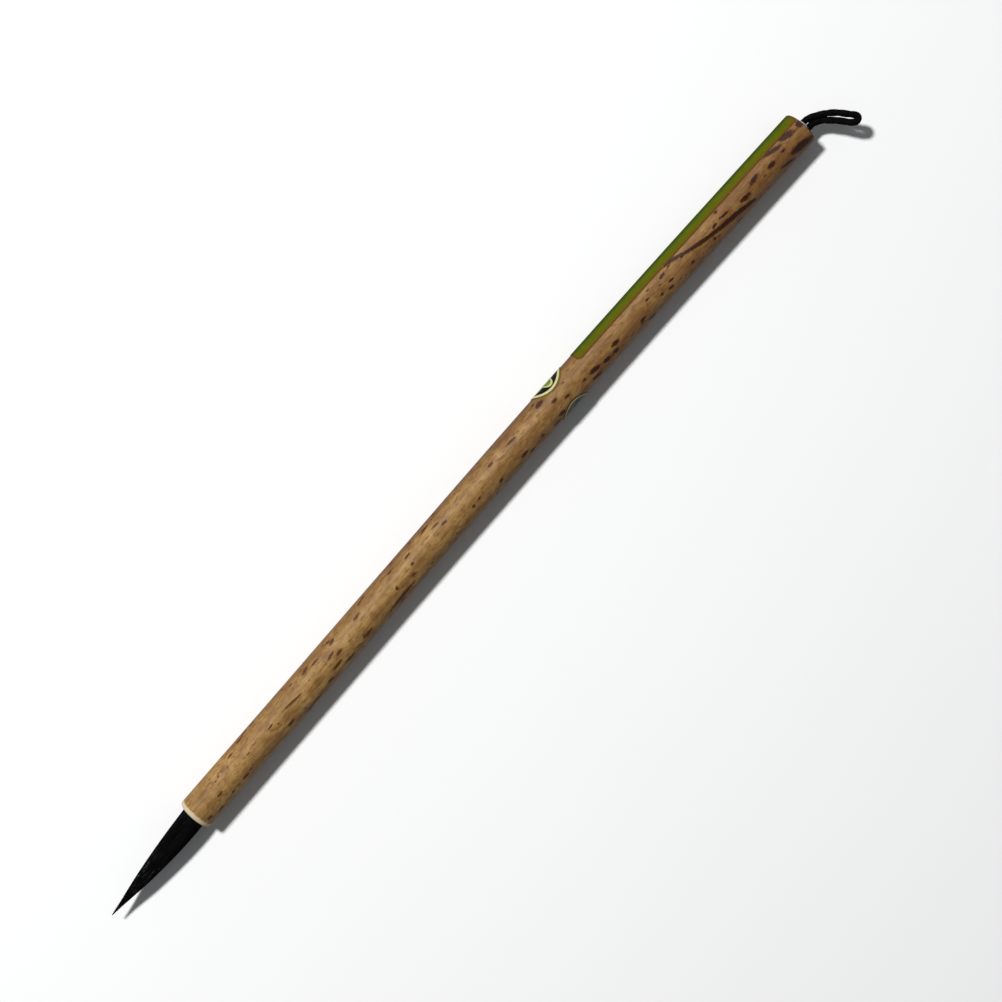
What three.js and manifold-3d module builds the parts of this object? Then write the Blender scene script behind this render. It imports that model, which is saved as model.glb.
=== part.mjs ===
// A calligraphy brush: a bamboo handle with a glued-in hair tuft at one end and a hanging loop at the other.
// Millimetres. The brush lies along X with its hair towards -X, resting on Z = 0, with its name label towards +Y.
import * as THREE from "three";
import { mergeVertices } from "three/addons/utils/BufferGeometryUtils.js";
import Module from "manifold-3d";

// Handle: a bamboo cane with its natural hollow.
const caneLength = 210;
const caneRadius = 4.25;
const pithRadius = 1.7;
const mouthChamfer = 0.7;
const tailChamfer = 0.3;

// Socket that holds the hair root, and the counterbore for the plug and knot.
const socketDepth = 12;
const tailBoreRadius = 2.75;
const tailBoreDepth = 14;

// Tuft: stiffer core hair inside a coat of finer hair.
const tuftLength = 29.7;
const tuftRadius = 2.8;
const drawnIn = 0.7;
const coreRadius = 1.6;
const coreShare = 0.72;
const rootDepth = 10.2;
const rootFlare = 0.2;

// Thread wound round the hair root, which it draws in.
const threadDiameter = 0.4;
const threadPitch = 0.46;
const threadTurns = 8;
const threadStart = 4.6;

// Burnt and rosined root end, and the glue behind it.
const sealThickness = 0.7;
const glueRim = 1.6;

// Plug, knot and hanging cord at the tail.
const plugLength = 6;
const plugDome = 1.2;
const cordDiameter = 1.6;
const cordOffset = -0.5;
const knotLength = 4.6;

// Printed paper on the handle.
const paperThickness = 0.1;
const labelLength = 73.7;
const labelCorner = 1.2;
const labelFrom = 25;
const labelTo = 163;
const stickerTip = 0.6;
const leftStickerPlace = 127.35;
const leftStickerAngle = 94.5;
const leftStickerSpread = 69.5;
const rightStickerPlace = 128.15;
const rightStickerAngle = -104;
const rightStickerSpread = 60;

// Clearances.
const fitGap = 0.05;
const socketGap = 0.1;
const knotGap = 0.55;
const paperGap = 0.03;
const threadGap = 0.1;
const faceGap = 0.15;
const swingGap = 0.3;

// Sizes that follow from those above.
const socketRadius = tuftRadius + socketGap;
const boundRadius = tuftRadius - drawnIn;
const knotRadius = tailBoreRadius - knotGap;
const strandSpacing = cordDiameter + fitGap;

// Round pieces have many sides. The cane has fewer, so that it rests steadily on one of its long facets.
const roundSides = 48;
const caneSides = 24;
const axisHeight = caneRadius * Math.cos(Math.PI / caneSides);

const wasm = await Module();
wasm.setup();

function material(color, roughness, metalness = 0) {
  return new THREE.MeshStandardMaterial({ color, roughness, metalness });
}

const bamboo = material(0x9f7746, 0.45);
const hair = material(0x0b0b0d, 0.5);
const innerHair = material(0x2a211b, 0.6);
const thread = material(0xd8cdb8, 0.8);
const rosin = material(0x3a1d0c, 0.3);
const glue = material(0xc9a25a, 0.3);
const ivory = material(0xe9e2d2, 0.4);
const cordBlack = material(0x101012, 0.8);
const greenPaper = material(0x5c7112, 0.6);
const foilPaper = material(0xb8924a, 0.4, 0.3);

function toSolid(geometry) {
  const bare = geometry.clone();
  bare.deleteAttribute("normal");
  bare.deleteAttribute("uv");
  const merged = mergeVertices(bare, 1e-4);
  const vertProperties = merged.attributes.position.array;
  const triVerts = new Uint32Array(merged.index.array);
  return new wasm.Manifold(new wasm.Mesh({ numProp: 3, vertProperties, triVerts }));
}

function toGeometry(solid) {
  const mesh = solid.getMesh();
  const geometry = new THREE.BufferGeometry();
  geometry.setAttribute("position", new THREE.BufferAttribute(mesh.vertProperties, 3));
  geometry.setIndex(new THREE.BufferAttribute(mesh.triVerts, 1));
  geometry.computeVertexNormals();
  return geometry;
}

// A body turned about the X axis, from [x, radius] pairs that run towards +X on the outside.
function turned(profile, sides = roundSides) {
  const points = profile.map(([x, radius]) => new THREE.Vector2(radius, x));
  return new THREE.LatheGeometry(points, sides, Math.PI / sides).rotateZ(-Math.PI / 2);
}

function roundShape(radius, sides) {
  const corners = [];
  for (let i = 0; i < sides; i++) {
    const angle = (2 * Math.PI * i) / sides;
    corners.push(new THREE.Vector2(radius * Math.cos(angle), radius * Math.sin(angle)));
  }
  return new THREE.Shape(corners);
}

function tubeAlong(curve, diameter, sides, steps) {
  return new THREE.ExtrudeGeometry(roundShape(diameter / 2, sides), {
    steps,
    bevelEnabled: false,
    extrudePath: curve,
  });
}

// --- handle ---

function cane() {
  const tailBoreEnd = caneLength - tailBoreDepth;
  const chamfer = Math.min(mouthChamfer, (caneRadius - socketRadius) * 0.55);
  const profile = [
    [0, socketRadius],
    [0, caneRadius - chamfer],
    [chamfer, caneRadius],
    [caneLength - tailChamfer, caneRadius],
    [caneLength, caneRadius - tailChamfer],
    [caneLength, tailBoreRadius],
    [tailBoreEnd, tailBoreRadius],
    [tailBoreEnd, pithRadius],
    [socketDepth, pithRadius],
    [socketDepth, socketRadius],
    [0, socketRadius],
  ];
  return turned(profile, caneSides);
}

// --- tuft ---

// Outer radius of the hair outside the handle, as [share of the exposed length, share of the root radius].
const tuftTaper = [
  [0.09, 0.99],
  [0.25, 0.88],
  [0.45, 0.76],
  [0.62, 0.59],
  [0.75, 0.38],
  [0.86, 0.16],
  [1, 0],
];

const bindFrom = threadStart - threadPitch;
const bindTo = threadStart + threadPitch * (threadTurns + 1);

function hairCoat() {
  const outside = tuftTaper.map(([share, width]) => [-share * tuftLength, width * tuftRadius]).reverse();
  const hole = coreRadius + fitGap;
  const coreTip = -coreShare * tuftLength;
  return turned([
    ...outside,
    [0, tuftRadius],
    [bindFrom - (tuftRadius - boundRadius), tuftRadius],
    [bindFrom, boundRadius],
    [bindTo, boundRadius],
    [rootDepth, boundRadius + rootFlare],
    [rootDepth, hole],
    [coreTip / 2, hole],
    [coreTip - fitGap, hole / 2],
    [coreTip - fitGap, 0],
  ]);
}

function hairCore() {
  const coreTip = -coreShare * tuftLength;
  return turned([
    [coreTip, 0],
    [coreTip, coreRadius / 2 - fitGap],
    [coreTip / 2, coreRadius],
    [rootDepth, coreRadius],
    [rootDepth, 0],
  ]);
}

class Winding extends THREE.Curve {
  getPoint(t, target = new THREE.Vector3()) {
    const angle = 2 * Math.PI * threadTurns * t;
    const radius = boundRadius + threadGap + threadDiameter / 2;
    const x = threadStart + threadPitch * threadTurns * t;
    return target.set(x, radius * Math.sin(angle), radius * Math.cos(angle));
  }
}

function rootThread() {
  return tubeAlong(new Winding(), threadDiameter, 6, threadTurns * 16);
}

const sealStart = rootDepth + faceGap;
const sealRadius = boundRadius + rootFlare;

function rootSeal() {
  return turned([
    [sealStart, 0],
    [sealStart, sealRadius],
    [sealStart + sealThickness * 0.6, sealRadius],
    [sealStart + sealThickness, sealRadius * 0.8],
    [sealStart + sealThickness, 0],
  ]);
}

// The glue closes the bottom of the socket and climbs its wall round the hair root.
function glueBed() {
  const outer = socketRadius - fitGap;
  const inner = sealRadius + faceGap;
  const bottom = socketDepth - fitGap;
  const floor = sealStart + sealThickness + faceGap;
  return turned([
    [floor, 0],
    [floor, inner],
    [floor - glueRim, inner],
    [floor - glueRim, outer],
    [bottom, outer],
    [bottom, 0],
  ]);
}

// --- tail ---

// Both strands of the cord pass side by side through one long hole in the plug.
function longHole(width, from, to) {
  const half = strandSpacing / 2;
  const outline = new THREE.Shape();
  outline.absarc(half, 0, width / 2, -Math.PI / 2, Math.PI / 2, false);
  outline.absarc(-half, 0, width / 2, Math.PI / 2, (3 * Math.PI) / 2, false);
  const hole = new THREE.ExtrudeGeometry(outline, { depth: to - from, bevelEnabled: false, curveSegments: 8 });
  const [x, y, z] = [0, 1, 2].map((i) => new THREE.Vector3().setComponent(i, 1));
  return hole.applyMatrix4(new THREE.Matrix4().makeBasis(y, z, x)).translate(from, cordOffset, 0);
}

function tailPlug() {
  const radius = tailBoreRadius - fitGap;
  const dome = [];
  const sphere = (radius * radius + plugDome * plugDome) / (2 * plugDome);
  const spread = Math.asin(radius / sphere);
  for (let i = 0; i <= 6; i++) {
    const angle = spread * (1 - i / 6);
    const rise = sphere * Math.cos(angle) - (sphere - plugDome);
    dome.push([caneLength + rise, i === 6 ? 0 : sphere * Math.sin(angle)]);
  }
  const start = caneLength - plugLength;
  const body = turned([[start, 0], [start, radius], ...dome]);
  const hole = longHole(cordDiameter + 4 * fitGap, start - 1, caneLength + plugDome + 1);
  return toGeometry(toSolid(body).subtract(toSolid(hole)));
}

// The cord's two ends, tied in one knot behind the plug; the strands run through the plug's hole.
function cordKnot() {
  const end = caneLength - plugLength - faceGap;
  const start = end - knotLength;
  const shoulder = knotRadius * 0.3;
  const barrel = turned([
    [start, 0],
    [start, knotRadius - shoulder],
    [start + shoulder, knotRadius],
    [end - shoulder, knotRadius],
    [end, knotRadius - shoulder],
    [end, 0],
  ]);
  let knot = toSolid(barrel);
  for (const side of [-1, 1]) {
    const y = cordOffset + (side * strandSpacing) / 2;
    const from = new THREE.Vector3((start + end) / 2, y, 0);
    const to = new THREE.Vector3(caneLength + plugDome / 2, y, 0);
    knot = knot.add(toSolid(tubeAlong(new THREE.LineCurve3(from, to), cordDiameter, 8, 1)));
  }
  return toGeometry(knot);
}

// The cord turns about an upright axis just outside the plug. Its two starts are rounded about that axis.
const swingRadius = (strandSpacing + cordDiameter) / 2 + fitGap;
const swingAhead = plugDome + swingGap + swingRadius;

// Centre line of the hanging cord, as [beyond the handle's end, towards the label, above the axis].
const cordRoute = [
  [1.5, 0.32, 0],
  [2.5, 0.1, 0.1],
  [3.6, -0.65, 0.45],
  [4.8, -1.85, 1],
  [5.95, -3.3, 1.6],
  [7.15, -4.95, 2.25],
  [8.2, -6.65, 2.8],
  [8.7, -7.7, 3.1],
  [8.8, -8.55, 3.25],
  [8.35, -9.2, 3.3],
  [7.55, -9.3, 3.2],
  [6.95, -8.7, 3],
  [6.35, -7.5, 2.6],
  [5.6, -6.15, 2.1],
  [4.6, -4.45, 1.5],
  [3.5, -2.97, 0.85],
  [2.5, -1.9, 0.3],
  [1.5, -1.33, 0],
];
const cordSteps = 48;

function hangingCord() {
  const points = cordRoute.map(([along, left, up]) => new THREE.Vector3(caneLength + along, left, up));
  const tube = tubeAlong(new THREE.CatmullRomCurve3(points), cordDiameter, 8, cordSteps);
  const reach = 30;
  const room = new THREE.Shape();
  room.absarc(0, 0, swingRadius, Math.PI / 2, (3 * Math.PI) / 2, false);
  room.lineTo(0, -reach);
  room.lineTo(reach, -reach);
  room.lineTo(reach, reach);
  room.lineTo(0, reach);
  const cutter = new THREE.ExtrudeGeometry(room, { depth: reach, bevelEnabled: false, curveSegments: 12 });
  cutter.translate(caneLength + swingAhead, cordOffset, -reach / 2);
  return toGeometry(toSolid(tube).intersect(toSolid(cutter)));
}

// --- paper ---

// A sheet that hugs the cane's facets. widthAt gives [low x, high x] for an arc length from its middle.
function wrapped(fromDegrees, toDegrees, widthAt) {
  const side = 360 / caneSides;
  const middle = (fromDegrees + toDegrees) / 2;
  const columns = [fromDegrees];
  for (let i = Math.ceil((2 * fromDegrees) / side); (i * side) / 2 < toDegrees; i++) {
    if ((i * side) / 2 > fromDegrees) columns.push((i * side) / 2);
  }
  columns.push(toDegrees);
  const inner = axisHeight + paperGap;
  const corners = [];
  for (const degrees of columns) {
    const angle = THREE.MathUtils.degToRad(degrees);
    const lean = THREE.MathUtils.degToRad(degrees - side * Math.round(degrees / side));
    const arc = caneRadius * THREE.MathUtils.degToRad(degrees - middle);
    const [low, high] = widthAt(arc);
    for (const [x, height] of [[low, 0], [high, 0], [high, paperThickness], [low, paperThickness]]) {
      const radius = (inner + height) / Math.cos(lean);
      corners.push(x, radius * Math.sin(angle), radius * Math.cos(angle));
    }
  }
  const faces = [0, 1, 2, 0, 2, 3];
  const count = columns.length - 1;
  for (let i = 0; i < count; i++) {
    for (let edge = 0; edge < 4; edge++) {
      const a = 4 * i + edge;
      const b = 4 * i + ((edge + 1) % 4);
      faces.push(a, a + 4, b + 4, a, b + 4, b);
    }
  }
  const end = 4 * count;
  faces.push(end, end + 2, end + 1, end, end + 3, end + 2);
  const geometry = new THREE.BufferGeometry();
  geometry.setAttribute("position", new THREE.Float32BufferAttribute(corners, 3));
  geometry.setIndex(faces);
  geometry.computeVertexNormals();
  return geometry;
}

function nameLabel() {
  const high = caneLength - tailChamfer - fitGap;
  const low = high - labelLength;
  const halfArc = (caneRadius * THREE.MathUtils.degToRad(labelTo - labelFrom)) / 2;
  const corner = Math.min(labelCorner, halfArc, labelLength);
  return wrapped(labelFrom, labelTo, (arc) => {
    const into = THREE.MathUtils.clamp(Math.abs(arc) - (halfArc - corner), 0, corner);
    return [low + corner - Math.sqrt(corner * corner - into * into), high];
  });
}

// A round sticker that wraps the same share of any cane, so it never reaches the resting line.
function roundSticker(place, angle, spread) {
  const radius = caneRadius * THREE.MathUtils.degToRad(spread);
  return wrapped(angle - spread, angle + spread, (arc) => {
    const half = Math.sqrt(Math.max(radius * radius - arc * arc, stickerTip * stickerTip));
    return [place - half, place + half];
  });
}

// --- assembly ---

function piece(name, geometry, finish) {
  const mesh = new THREE.Mesh(geometry, finish);
  mesh.name = name;
  return mesh;
}

const leftSticker = roundSticker(leftStickerPlace, leftStickerAngle, leftStickerSpread);
const rightSticker = roundSticker(rightStickerPlace, rightStickerAngle, rightStickerSpread);

const handle = new THREE.Group();
handle.add(piece("cane", cane(), bamboo));
handle.add(piece("name_label", nameLabel(), greenPaper));
handle.add(piece("left_seal", leftSticker, foilPaper));
handle.add(piece("right_seal", rightSticker, foilPaper));

const tuft = new THREE.Group();
tuft.add(piece("hair_core", hairCore(), innerHair));
tuft.add(piece("hair_coat", hairCoat(), hair));
tuft.add(piece("root_thread", rootThread(), thread));
tuft.add(piece("root_seal", rootSeal(), rosin));
tuft.add(piece("glue_bed", glueBed(), glue));

const tail = new THREE.Group();
tail.add(piece("tail_plug", tailPlug(), ivory));
tail.add(piece("cord_knot", cordKnot(), cordBlack));
tail.add(piece("hanging_cord", hangingCord(), cordBlack));

// The origin lies under the middle of the brush, from the tip of its hair to the top of its plug.
const group = new THREE.Group();
group.add(handle, tuft, tail);
group.position.set(-(caneLength + plugDome - tuftLength) / 2, 0, axisHeight);

export default group;
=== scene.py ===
import math
import random

import bpy
import numpy as np
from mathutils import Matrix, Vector


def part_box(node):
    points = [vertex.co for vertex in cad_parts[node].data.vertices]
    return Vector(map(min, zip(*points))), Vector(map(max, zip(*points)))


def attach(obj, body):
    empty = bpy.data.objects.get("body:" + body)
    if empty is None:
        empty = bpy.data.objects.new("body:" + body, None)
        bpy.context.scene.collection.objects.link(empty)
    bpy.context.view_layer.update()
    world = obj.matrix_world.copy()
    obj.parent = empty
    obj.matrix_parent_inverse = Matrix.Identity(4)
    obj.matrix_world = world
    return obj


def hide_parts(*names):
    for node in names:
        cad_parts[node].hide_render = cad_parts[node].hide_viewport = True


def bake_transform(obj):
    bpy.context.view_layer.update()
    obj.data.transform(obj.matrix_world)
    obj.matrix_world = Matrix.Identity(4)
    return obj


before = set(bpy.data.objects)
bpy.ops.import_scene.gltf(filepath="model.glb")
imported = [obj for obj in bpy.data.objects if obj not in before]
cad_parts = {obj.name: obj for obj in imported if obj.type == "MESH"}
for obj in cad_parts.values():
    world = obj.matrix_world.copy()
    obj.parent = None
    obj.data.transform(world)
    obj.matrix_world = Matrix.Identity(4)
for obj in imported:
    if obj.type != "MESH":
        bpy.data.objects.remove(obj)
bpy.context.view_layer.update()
mm = 0.001

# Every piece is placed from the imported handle, plug and tuft.
caneLow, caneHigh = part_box("cane")
mouthX = caneLow.x
caneLength = caneHigh.x - caneLow.x
caneRadius = (caneHigh.z - caneLow.z) / 2
axisHeight = (caneHigh.z + caneLow.z) / 2
plugLow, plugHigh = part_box("tail_plug")
tuftLow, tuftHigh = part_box("hair_coat")
print("frame loaded, handle", round(caneLength / mm), "mm long")


# The camera looks straight down on the brush.
cameraSettings = {
    "along": 0.0097,
    "aside": -0.00505,
    "height": 0.406,
    "lens": 63,
    "turn": -48.6,  # degrees
}


def makeCamera():
    data = bpy.data.cameras.new("camera")
    data.lens = cameraSettings["lens"]
    data.sensor_width = 36
    data.clip_start = 0.01
    camera = bpy.data.objects.new("camera", data)
    camera.location = (cameraSettings["along"], cameraSettings["aside"], cameraSettings["height"])
    camera.rotation_euler = (0, 0, math.radians(cameraSettings["turn"]))
    bpy.context.scene.collection.objects.link(camera)
    bpy.context.scene.camera = camera


makeCamera()
print("camera placed")


# A shader node with its settings, and values or links on its inputs.
def addNode(tree, kind, settings, inputs):
    node = tree.nodes.new("ShaderNode" + kind)
    for key, value in settings.items():
        setattr(node, key, value)
    for key, value in inputs.items():
        if isinstance(value, bpy.types.NodeSocket):
            tree.links.new(value, node.inputs[key])
        else:
            node.inputs[key].default_value = value
    return node


def calculate(tree, operation, first, second, clamp=False):
    settings = {"operation": operation, "use_clamp": clamp}
    return addNode(tree, "Math", settings, {0: first, 1: second}).outputs[0]


def times(tree, first, second, clamp=False):
    return calculate(tree, "MULTIPLY", first, second, clamp)


def plus(tree, first, second, clamp=False):
    return calculate(tree, "ADD", first, second, clamp)


def mixColors(tree, share, first, second, blend="MIX"):
    settings = {"data_type": "RGBA", "blend_type": blend}
    return addNode(tree, "Mix", settings, {0: share, 6: first, 7: second}).outputs[2]


def rescale(tree, value, fromLow, fromHigh, toLow=0.0, toHigh=1.0):
    ends = {"From Min": fromLow, "From Max": fromHigh, "To Min": toLow, "To Max": toHigh}
    return addNode(tree, "MapRange", {"clamp": True}, {"Value": value, **ends}).outputs[0]


# A colour darkened by a grey shade.
def shaded(tree, share, color, shade):
    grey = addNode(tree, "CombineColor", {}, {0: shade, 1: shade, 2: shade}).outputs[0]
    return mixColors(tree, share, color, grey, "MULTIPLY")


def noiseOf(tree, place, detail, **others):
    inputs = {"Vector": place, "Scale": 1.0, "Detail": detail}
    for key, value in others.items():
        inputs[key.capitalize()] = value
    return addNode(tree, "TexNoise", {}, inputs).outputs[0]


# A place divided by the size of a pattern, which is then drawn at that size.
def scaledDown(tree, place, size):
    spread = addNode(tree, "VectorMath", {"operation": "SCALE"}, {0: place})
    tree.links.new(calculate(tree, "DIVIDE", 1.0, size), spread.inputs["Scale"])
    return spread.outputs[0]


def srgb(red, green, blue):
    parts = [part / 255 for part in (red, green, blue)]
    return tuple(p / 12.92 if p <= 0.04045 else ((p + 0.055) / 1.055) ** 2.4 for p in parts) + (1,)


def newGroup(name, inputs, outputs):
    group = bpy.data.node_groups.new(name, "ShaderNodeTree")
    for socketName, start in inputs.items():
        kind = "NodeSocketVector" if start is None else "NodeSocketFloat"
        socket = group.interface.new_socket(name=socketName, in_out="INPUT", socket_type=kind)
        if start is not None:
            socket.default_value = start
    for socketName in outputs:
        group.interface.new_socket(name=socketName, in_out="OUTPUT", socket_type="NodeSocketFloat")
    return group, group.nodes.new("NodeGroupInput").outputs, group.nodes.new("NodeGroupOutput").inputs


def useGroup(tree, group, inputs):
    return addNode(tree, "Group", {"node_tree": group}, inputs).outputs


# Long fibres that run with the handle. Place is in millimetres.
def makeFibreGroup():
    inputs = {"Place": None, "Length": 12.0, "Width": 0.3}
    group, given, result = newGroup("fibre grain", inputs, ["Streak"])
    size = addNode(group, "CombineXYZ", {}, {0: given["Length"], 1: given["Width"], 2: given["Width"]})
    spread = addNode(group, "VectorMath", {"operation": "DIVIDE"}, {0: given["Place"], 1: size.outputs[0]})
    noise = noiseOf(group, spread.outputs[0], 5.0, roughness=0.62)
    streak = rescale(group, noise, 0.3, 0.7)
    group.links.new(streak, result["Streak"])
    return group


# Slow changes of tone over a surface.
def makeToneGroup():
    inputs = {"Place": None, "Size": 5.0, "Contrast": 1.0}
    group, given, result = newGroup("uneven tone", inputs, ["Tone"])
    place = scaledDown(group, given["Place"], given["Size"])
    noise = noiseOf(group, place, 4.0, roughness=0.55)
    centred = calculate(group, "SUBTRACT", noise, 0.5)
    tone = plus(group, times(group, centred, given["Contrast"]), 0.5, clamp=True)
    group.links.new(tone, result["Tone"])
    return group


# A mask that is 1 between two values, with an edge broken up by fine noise.
def makeBandGroup():
    inputs = {"Value": 0.0, "Low": 0.0, "High": 1.0, "Blur": 0.05}
    inputs.update({"Place": None, "Grain": 0.4, "Ragged": 0.0})
    group, given, result = newGroup("ragged band", inputs, ["Mask"])
    noise = noiseOf(group, scaledDown(group, given["Place"], given["Grain"]), 3.0)
    push = times(group, calculate(group, "SUBTRACT", noise, 0.5), given["Ragged"])
    value = plus(group, given["Value"], push)
    aboveLow = calculate(group, "SUBTRACT", value, given["Low"])
    belowHigh = calculate(group, "SUBTRACT", given["High"], value)
    above = calculate(group, "DIVIDE", aboveLow, given["Blur"], clamp=True)
    below = calculate(group, "DIVIDE", belowHigh, given["Blur"], clamp=True)
    group.links.new(times(group, above, below), result["Mask"])
    return group


# Patches where hands rub, strongest near an edge.
def makeWearGroup():
    inputs = {"Place": None, "Edge": 0.0, "Amount": 0.5}
    group, given, result = newGroup("edge wear", inputs, ["Wear"])
    noise = noiseOf(group, given["Place"], 5.0, scale=1.7, roughness=0.7)
    reach = times(group, given["Edge"], given["Amount"])
    wear = calculate(group, "SUBTRACT", plus(group, noise, reach), 0.72)
    group.links.new(times(group, wear, 5.0, clamp=True), result["Wear"])
    return group


fibreGroup = makeFibreGroup()
toneGroup = makeToneGroup()
bandGroup = makeBandGroup()
wearGroup = makeWearGroup()


def grainOn(tree, place, length, width):
    return useGroup(tree, fibreGroup, {"Place": place, "Length": length, "Width": width})["Streak"]


def toneOn(tree, place, size, contrast=1.0):
    return useGroup(tree, toneGroup, {"Place": place, "Size": size, "Contrast": contrast})["Tone"]


noLimit = 9.0  # a top that no value reaches


def bandOn(tree, place, value, low, high, blur, grain, ragged=0.0):
    inputs = {"Value": value, "Low": low, "High": high, "Blur": blur}
    inputs.update({"Place": place, "Grain": grain, "Ragged": ragged})
    return useGroup(tree, bandGroup, inputs)["Mask"]


def wearOn(tree, place, edge, amount):
    return useGroup(tree, wearGroup, {"Place": place, "Edge": edge, "Amount": amount})["Wear"]


def newMaterial(name, roughness, specular, constants=None):
    material = bpy.data.materials.new(name)
    material.use_nodes = True
    tree = material.node_tree
    shader = tree.nodes["Principled BSDF"]
    shader.inputs["Roughness"].default_value = roughness
    shader.inputs["Specular IOR Level"].default_value = specular
    for key, value in (constants or {}).items():
        shader.inputs[key].default_value = value
    return material, tree, shader.inputs


def readAttribute(tree, name, output="Fac"):
    return addNode(tree, "Attribute", {"attribute_name": name}, {}).outputs[output]


# Where a point is, in millimetres. Pieces made here carry their place on the handle, and packed
# nodes use their own coordinates.
def placeOf(tree, packed=False):
    if not packed:
        return readAttribute(tree, "place", "Vector")
    own = addNode(tree, "TexCoord", {}, {}).outputs["Object"]
    return addNode(tree, "VectorMath", {"operation": "SCALE"}, {0: own, "Scale": 1 / mm}).outputs[0]


def addBump(tree, sockets, height, distance):
    bump = addNode(tree, "Bump", {}, {"Strength": 1.0, "Distance": distance, "Height": height})
    tree.links.new(bump.outputs[0], sockets["Normal"])


bend = {
    "cane": 0.85 * mm,
    "caneSkew": 1.3,  # above 1 moves the most bent place towards the tail
    "hair": -0.95 * mm,
    "hairPower": 0.65,
}


# The cane bows a little towards its label, and the hair leans the other way at its tip.
def bowAt(along):
    share = np.clip(along / caneLength, 0, 1)
    hair = np.clip(-along / (mouthX - tuftLow.x), 0, 1)
    bow = bend["cane"] * np.sin(np.pi * share ** bend["caneSkew"])
    return bow + bend["hair"] * hair ** bend["hairPower"]


# Points are metres beyond the mouth, towards the label and above the axis. They move here to where
# the brush lies, and take on its bow.
def bowed(points):
    placed = points + [mouthX, 0, axisHeight]
    placed[:, 1] += bowAt(points[:, 0])
    return placed


sharpAngle = 42  # degrees, above which an edge isn't smoothed over


def addPiece(name, points, faces, material, slot, body, replaced=(), **layers):
    points = np.asarray(points, float)
    mesh = bpy.data.meshes.new(name)
    mesh.from_pydata(bowed(points).tolist(), [], faces)
    mesh.polygons.foreach_set("use_smooth", [True] * len(mesh.polygons))
    mesh.set_sharp_from_angle(angle=math.radians(sharpAngle))
    place = mesh.attributes.new("place", "FLOAT_VECTOR", "POINT")
    place.data.foreach_set("vector", (points / mm).ravel())
    for key, values in layers.items():
        layer = mesh.attributes.new(key, "FLOAT", "POINT")
        layer.data.foreach_set("value", np.asarray(values, float).ravel())
    mesh.materials.append(material)
    piece = bpy.data.objects.new(name, mesh)
    bpy.context.scene.collection.objects.link(piece)
    if body:
        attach(piece, body)
    if replaced:
        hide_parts(*replaced)
    return piece


def gridFaces(rows, columns, closedRows=False, closedColumns=True):
    row, column = np.meshgrid(
        np.arange(rows if closedRows else rows - 1),
        np.arange(columns if closedColumns else columns - 1),
        indexing="ij",
    )
    nextRow = (row + 1) % rows
    nextColumn = (column + 1) % columns
    corners = [(row, column), (nextRow, column), (nextRow, nextColumn), (row, nextColumn)]
    return np.stack([r * columns + c for r, c in corners], -1).reshape(-1, 4).tolist()


def onCylinder(along, angle, radius):
    along, angle, radius = np.broadcast_arrays(along, angle, radius)
    return np.stack([along, radius * np.sin(angle), radius * np.cos(angle)], -1)


# A body turned about the axis from [along, radius] points, which run towards the tail on the outside.
def turnedPoints(profile, columns, radiusAt=None):
    angles = np.arange(columns) * 2 * np.pi / columns
    along = np.array([p[0] for p in profile])[:, None]
    radius = np.array([p[1] for p in profile])[:, None]
    if radiusAt is not None:
        radius = radiusAt(along, angles[None, :], radius)
    return onCylinder(along, angles[None, :], radius).reshape(-1, 3)


# A smooth curve through a few points, cut into even steps, with the distance along it.
def smoothPath(points, spacing):
    points = np.array(points, float)
    padded = np.vstack([2 * points[0] - points[1], points, 2 * points[-1] - points[-2]])
    t = np.linspace(0, 1, 24, endpoint=False)[:, None]
    runs = []
    for a, b, c, d in zip(padded, padded[1:], padded[2:], padded[3:]):
        second = a - 2.5 * b + 2 * c - d / 2
        third = 1.5 * (b - c) + (d - a) / 2
        runs.append(b + (c - a) * t / 2 + second * t**2 + third * t**3)
    line = np.vstack(runs + [points[-1:]])
    distance = np.concatenate([[0], np.cumsum(np.linalg.norm(np.diff(line, axis=0), axis=1))])
    even = np.linspace(0, distance[-1], max(2, round(distance[-1] / spacing)) + 1)
    return np.stack([np.interp(even, distance, line[:, i]) for i in range(line.shape[1])], -1), even


# A round strand along a path. radiusAt gives its radius from the distance along it and the angles
# round it.
def strandPoints(line, columns, radiusAt):
    tangents = np.gradient(line, axis=0)
    tangents /= np.linalg.norm(tangents, axis=1)[:, None]
    distance = np.concatenate([[0], np.cumsum(np.linalg.norm(np.diff(line, axis=0), axis=1))])
    side = np.cross(tangents[0], [0.02, 0.1, 1.0])
    angles = np.arange(columns) * 2 * np.pi / columns
    rings = []
    for place, tangent, gone in zip(line, tangents, distance):
        side = side - tangent * np.dot(side, tangent)
        side /= np.linalg.norm(side)
        other = np.cross(tangent, side)
        radius = radiusAt(gone, angles)[:, None]
        outward = np.cos(angles)[:, None] * side + np.sin(angles)[:, None] * other
        rings.append(place + radius * outward)
    return np.concatenate(rings)


# Turned rings, closed by a flat cap at each end.
def closedBody(rings, columns):
    last = (rings - 1) * columns
    caps = [list(range(columns)), [last + i for i in reversed(range(columns))]]
    return gridFaces(rings, columns) + caps


# The rings of a strand run the other way round.
def closedTube(rings, columns):
    return [face[::-1] for face in closedBody(rings, columns)]


def shifted(faces, offset):
    return [[offset + index for index in face] for face in faces]


pinhole = 0.02 * mm  # radius left on the axis where a body closes


cordShape = {
    "diameter": 1.6 * mm,
    "inPlug": 4.5 * mm,  # how far both ends reach back into the plug
    "braidDepth": 0.07,
    "braidPitch": 2.6 * mm,
    "blendFrom": 1.2 * mm,
    "blendTo": 4.5 * mm,
    "columns": 32,
    "ringSpacing": 0.085 * mm,
}
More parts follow.
